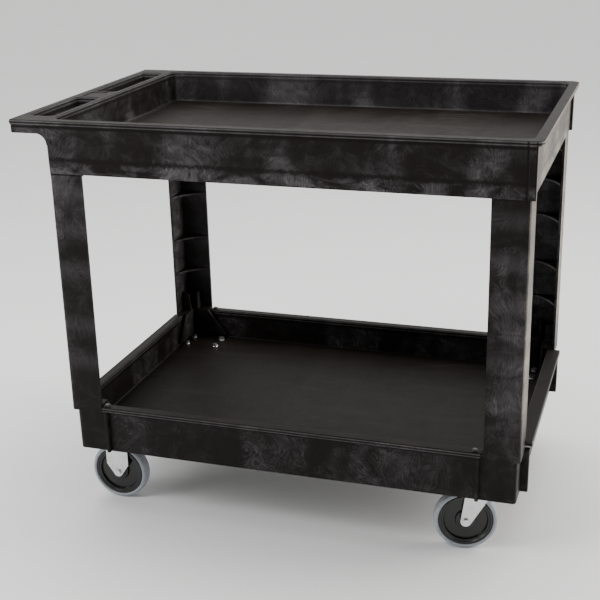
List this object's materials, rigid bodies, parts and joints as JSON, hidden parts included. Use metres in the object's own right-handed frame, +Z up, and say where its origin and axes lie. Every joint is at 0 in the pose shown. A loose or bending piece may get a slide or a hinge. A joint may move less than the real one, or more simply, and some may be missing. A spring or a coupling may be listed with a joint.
{
  "type": "rolling utility cart",
  "caption": "Two-shelf moulded utility cart with lipped tray shelves, angle legs, a push handle with tool bins, and rigid and swivel casters.",
  "frame": {"origin": "on the ground under the middle of the cart's overall length and width", "axes": "+X towards the plain end away from the push handle, +Y towards the back long side, +Z up"},
  "size_m": [1.0396, 0.6336, 0.845],
  "materials": {
    "shelf_foam": "moulded structural foam with a faint grey swirl",
    "leg_foam": "moulded structural foam with a faint grey swirl",
    "latch_plastic": "satin",
    "wheel_core_black": "semi-gloss",
    "grey_tread": "matt thermoplastic rubber",
    "zinc_plate": "bright zinc plate on pressed steel",
    "bright_steel": "zinc plated",
    "hard_steel": "polished"
  },
  "bodies": {
    "cart": {"upper_shelf": "shelf_foam", "lower_shelf": "shelf_foam", "leg_latches": "latch_plastic", "leg_front_left": "leg_foam", "leg_back_left": "leg_foam", "leg_front_right": "leg_foam", "leg_back_right": "leg_foam", "rigid_front_fork": "zinc_plate", "rigid_front_axle_bolt": "bright_steel", "rigid_front_axle_nut": "bright_steel", "rigid_front_bushing": "bright_steel", "rigid_back_fork": "zinc_plate", "rigid_back_axle_bolt": "bright_steel", "rigid_back_axle_nut": "bright_steel", "rigid_back_bushing": "bright_steel", "swivel_front_plate": "zinc_plate", "swivel_front_balls": "hard_steel", "swivel_front_kingpin": "zinc_plate", "swivel_back_plate": "zinc_plate", "swivel_back_balls": "hard_steel", "swivel_back_kingpin": "zinc_plate", "mounting_bolts": "bright_steel", "mounting_washers": "bright_steel", "mounting_nuts": "bright_steel"},
    "rigid_front_wheel": {"rigid_front_wheel_core": "wheel_core_black", "rigid_front_wheel_tread": "grey_tread"},
    "rigid_back_wheel": {"rigid_back_wheel_core": "wheel_core_black", "rigid_back_wheel_tread": "grey_tread"},
    "swivel_front_swivel": {"swivel_front_fork": "zinc_plate", "swivel_front_axle_bolt": "bright_steel", "swivel_front_axle_nut": "bright_steel", "swivel_front_bushing": "bright_steel"},
    "swivel_front_wheel": {"swivel_front_wheel_core": "wheel_core_black", "swivel_front_wheel_tread": "grey_tread"},
    "swivel_back_swivel": {"swivel_back_fork": "zinc_plate", "swivel_back_axle_bolt": "bright_steel", "swivel_back_axle_nut": "bright_steel", "swivel_back_bushing": "bright_steel"},
    "swivel_back_wheel": {"swivel_back_wheel_core": "wheel_core_black", "swivel_back_wheel_tread": "grey_tread"}
  },
  "joints": [
    {"name": "swivel_front_turn", "type": "hinge", "parent": "cart", "child": "swivel_front_swivel", "pos_m": [0.4183, -0.2464, 0.148], "axis": [0, 0, 1], "continuous": true},
    {"name": "swivel_back_turn", "type": "hinge", "parent": "cart", "child": "swivel_back_swivel", "pos_m": [0.4183, 0.2464, 0.148], "axis": [0, 0, 1], "continuous": true},
    {"name": "rigid_front_wheel_spin", "type": "hinge", "parent": "cart", "child": "rigid_front_wheel", "pos_m": [-0.3715, -0.2464, 0.0635], "axis": [0, 1, 0], "continuous": true},
    {"name": "rigid_back_wheel_spin", "type": "hinge", "parent": "cart", "child": "rigid_back_wheel", "pos_m": [-0.3715, 0.2464, 0.0635], "axis": [0, 1, 0], "continuous": true},
    {"name": "swivel_front_wheel_spin", "type": "hinge", "parent": "swivel_front_swivel", "child": "swivel_front_wheel", "pos_m": [0.39102, -0.2527, 0.0635], "axis": [-0.225, 0.9744, 0], "continuous": true},
    {"name": "swivel_back_wheel_spin", "type": "hinge", "parent": "swivel_back_swivel", "child": "swivel_back_wheel", "pos_m": [0.3903, 0.2464, 0.0635], "axis": [0, 1, 0], "continuous": true}
  ]
}
